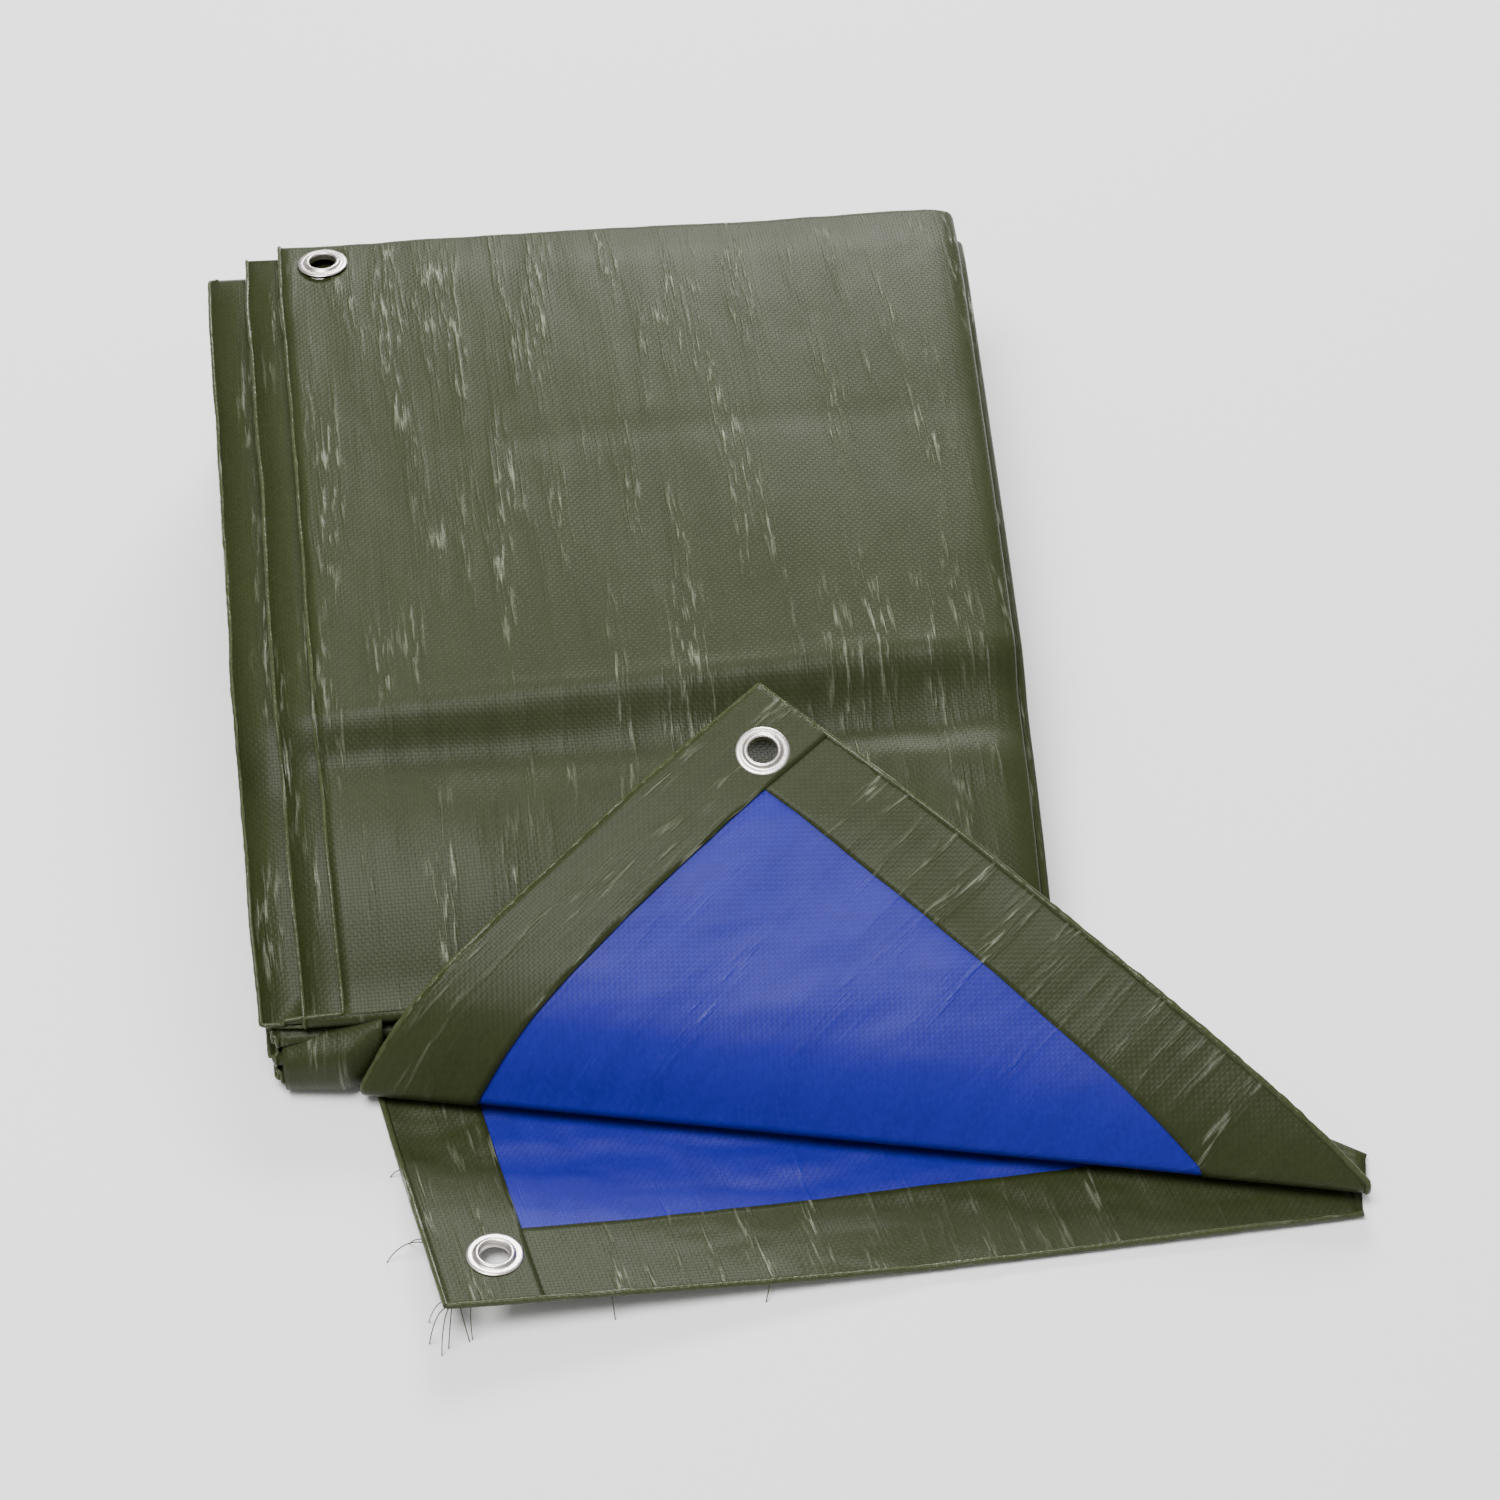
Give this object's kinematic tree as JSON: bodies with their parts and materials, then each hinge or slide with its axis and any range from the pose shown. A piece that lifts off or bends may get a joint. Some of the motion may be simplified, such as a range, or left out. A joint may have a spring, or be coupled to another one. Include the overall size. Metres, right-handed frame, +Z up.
{
  "type": "folded tarpaulin",
  "caption": "Coated woven tarpaulin folded back and forth into a thick pack, its last strip open at the front with one corner turned back; hemmed edges with metal eyelets.",
  "frame": {"origin": "on the ground, under the middle of the whole object", "axes": "+Z up, +Y from the open corner towards the pack's back folds, +X towards the pack's folded side"},
  "size_m": [0.4346, 0.499, 0.0969],
  "materials": {
    "green_cloth": "coated woven polyethylene, olive green, half gloss, fine weave",
    "blue_cloth": "coated woven polyethylene, bright blue, half gloss, fine weave",
    "eyelet": "pressed, satin"
  },
  "bodies": {
    "root": {"folded_pack": "green_cloth", "pack_hem_strip": "green_cloth", "flap_hem_strip": "green_cloth", "flap_panel": "blue_cloth", "sheet_hem_strip": "green_cloth", "sheet_panel": "blue_cloth", "eyelet_pack": "eyelet", "eyelet_flap": "eyelet", "eyelet_sheet": "eyelet"}
  },
  "joints": []
}
